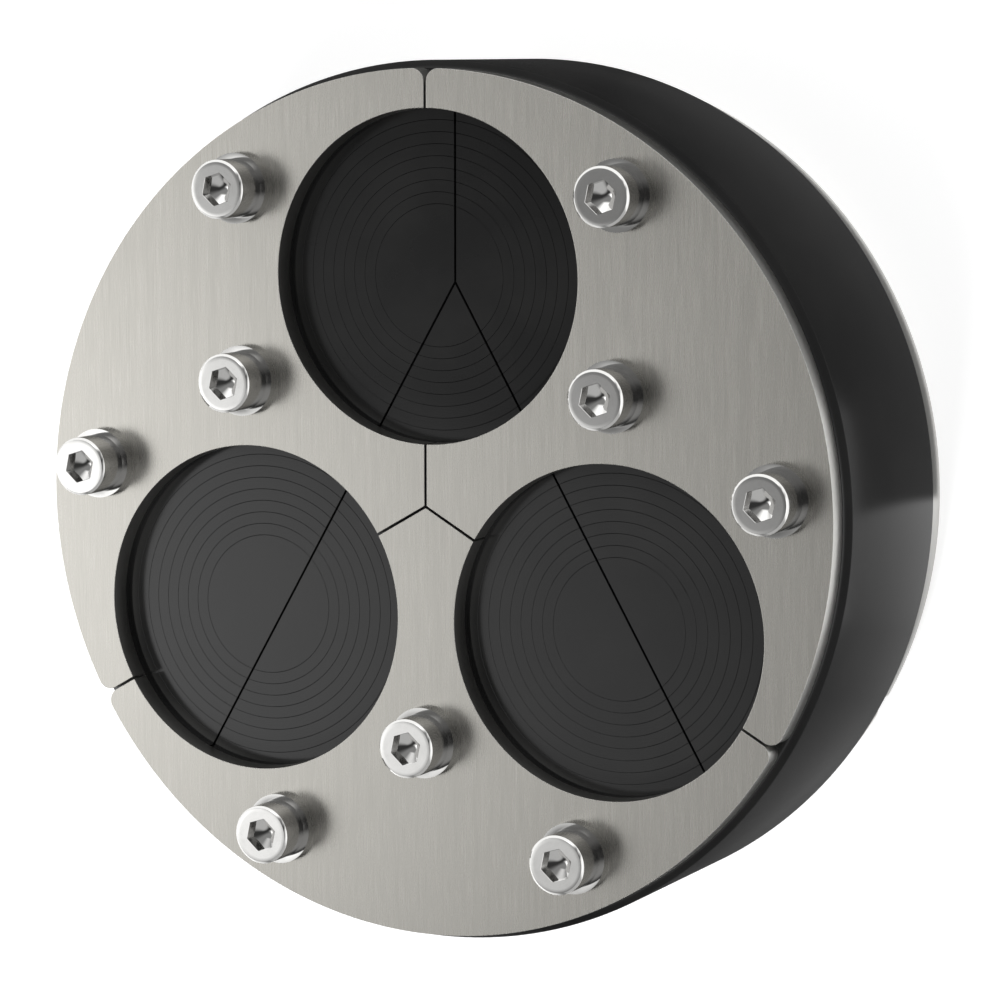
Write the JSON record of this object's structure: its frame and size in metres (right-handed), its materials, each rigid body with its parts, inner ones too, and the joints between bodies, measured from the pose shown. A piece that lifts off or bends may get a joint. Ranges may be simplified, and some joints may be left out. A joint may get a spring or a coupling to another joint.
{
  "type": "annular gap seal",
  "caption": "Round cable entry seal of segmented rubber with peel rings, clamped between split steel plates by socket head screws, for sealing cables in a wall opening.",
  "frame": {"origin": "on the axis of the seal at the outer face of the rear pressure plates, which it lies on", "axes": "+Z along the axis towards the front plates and bolt heads, +Y towards the port on the vertical plate split, +X to the right seen from the front"},
  "size_m": [0.1488, 0.1488, 0.0582],
  "materials": {
    "plate_steel": "brushed stainless, satin",
    "screw_steel": "bright polished stainless",
    "seal_rubber": "smooth moulded black, semi-gloss"
  },
  "bodies": {
    "root": {"front_plate_right": "plate_steel", "front_plate_left": "plate_steel", "front_plate_bottom": "plate_steel", "rear_plate_right": "plate_steel", "rear_plate_left": "plate_steel", "rear_plate_bottom": "plate_steel", "rubber_segment_right": "seal_rubber", "rubber_segment_left": "seal_rubber", "rubber_segment_bottom": "seal_rubber", "bolt_right_inner": "screw_steel", "bolt_right_lower": "screw_steel", "bolt_right_upper": "screw_steel", "bolt_left_inner": "screw_steel", "bolt_left_upper": "screw_steel", "bolt_left_lower": "screw_steel", "bolt_bottom_inner": "screw_steel", "bolt_bottom_left": "screw_steel", "bolt_bottom_right": "screw_steel", "washer_right_inner": "screw_steel", "washer_right_lower": "screw_steel", "washer_right_upper": "screw_steel", "washer_left_inner": "screw_steel", "washer_left_upper": "screw_steel", "washer_left_lower": "screw_steel", "washer_bottom_inner": "screw_steel", "washer_bottom_left": "screw_steel", "washer_bottom_right": "screw_steel"}
  },
  "joints": []
}
